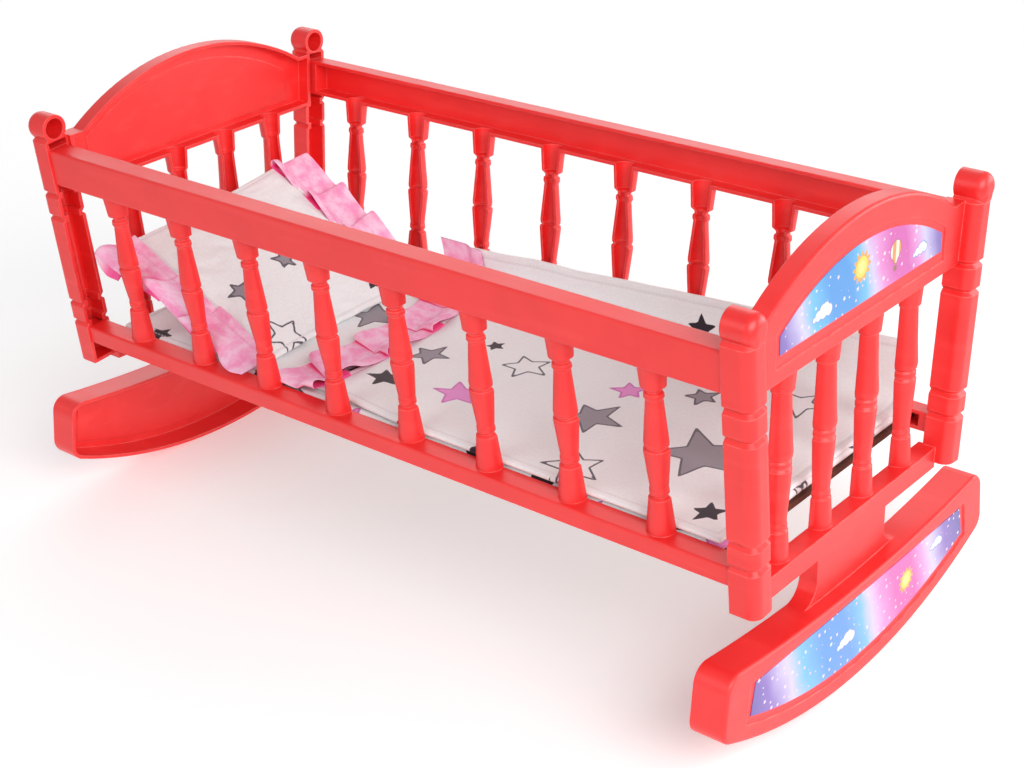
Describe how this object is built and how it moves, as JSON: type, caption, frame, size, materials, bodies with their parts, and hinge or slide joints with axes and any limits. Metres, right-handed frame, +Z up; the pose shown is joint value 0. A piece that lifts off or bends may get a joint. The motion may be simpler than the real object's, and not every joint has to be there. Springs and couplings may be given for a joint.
{
  "type": "doll cradle",
  "caption": "Rocking doll cradle with flared spindle sides, arched end panels on curved rockers, a lift-out mattress, a ruffled pillow and a ruffled blanket.",
  "frame": {"origin": "on the floor, midway between the two rockers, under the middle of the bed", "axes": "+X along the bed towards the foot end, +Z up, -Y the side of the bed where the blanket lies flat"},
  "size_m": [0.429, 0.2216, 0.2212],
  "materials": {
    "red_plastic": "satin",
    "brown_board": "matte",
    "star_fabric": "matte",
    "pink_fabric": "satin",
    "sticker": "gloss"
  },
  "bodies": {
    "cradle": {"head_end_panel": "red_plastic", "foot_end_panel": "red_plastic", "front_side_panel": "red_plastic", "rear_side_panel": "red_plastic", "base_board": "brown_board", "foot_arch_sticker": "sticker", "foot_rocker_sticker": "sticker", "head_arch_sticker": "sticker", "head_rocker_sticker": "sticker"},
    "mattress": {"mattress": "star_fabric"},
    "pillow": {"pillow": "star_fabric", "pillow_front_ruffle": "pink_fabric", "pillow_rear_ruffle": "pink_fabric"},
    "blanket": {"blanket": "star_fabric", "blanket_ruffle": "pink_fabric"}
  },
  "joints": [
    {"name": "mattress_lift", "type": "slide", "parent": "cradle", "child": "mattress", "axis": [0, 0, 1], "range_m": [0, 0.13]},
    {"name": "pillow_lift", "type": "slide", "parent": "mattress", "child": "pillow", "axis": [0, 0, 1], "range_m": [0, 0.13]},
    {"name": "blanket_lift", "type": "slide", "parent": "mattress", "child": "blanket", "axis": [0, 0, 1], "range_m": [0, 0.13]}
  ]
}
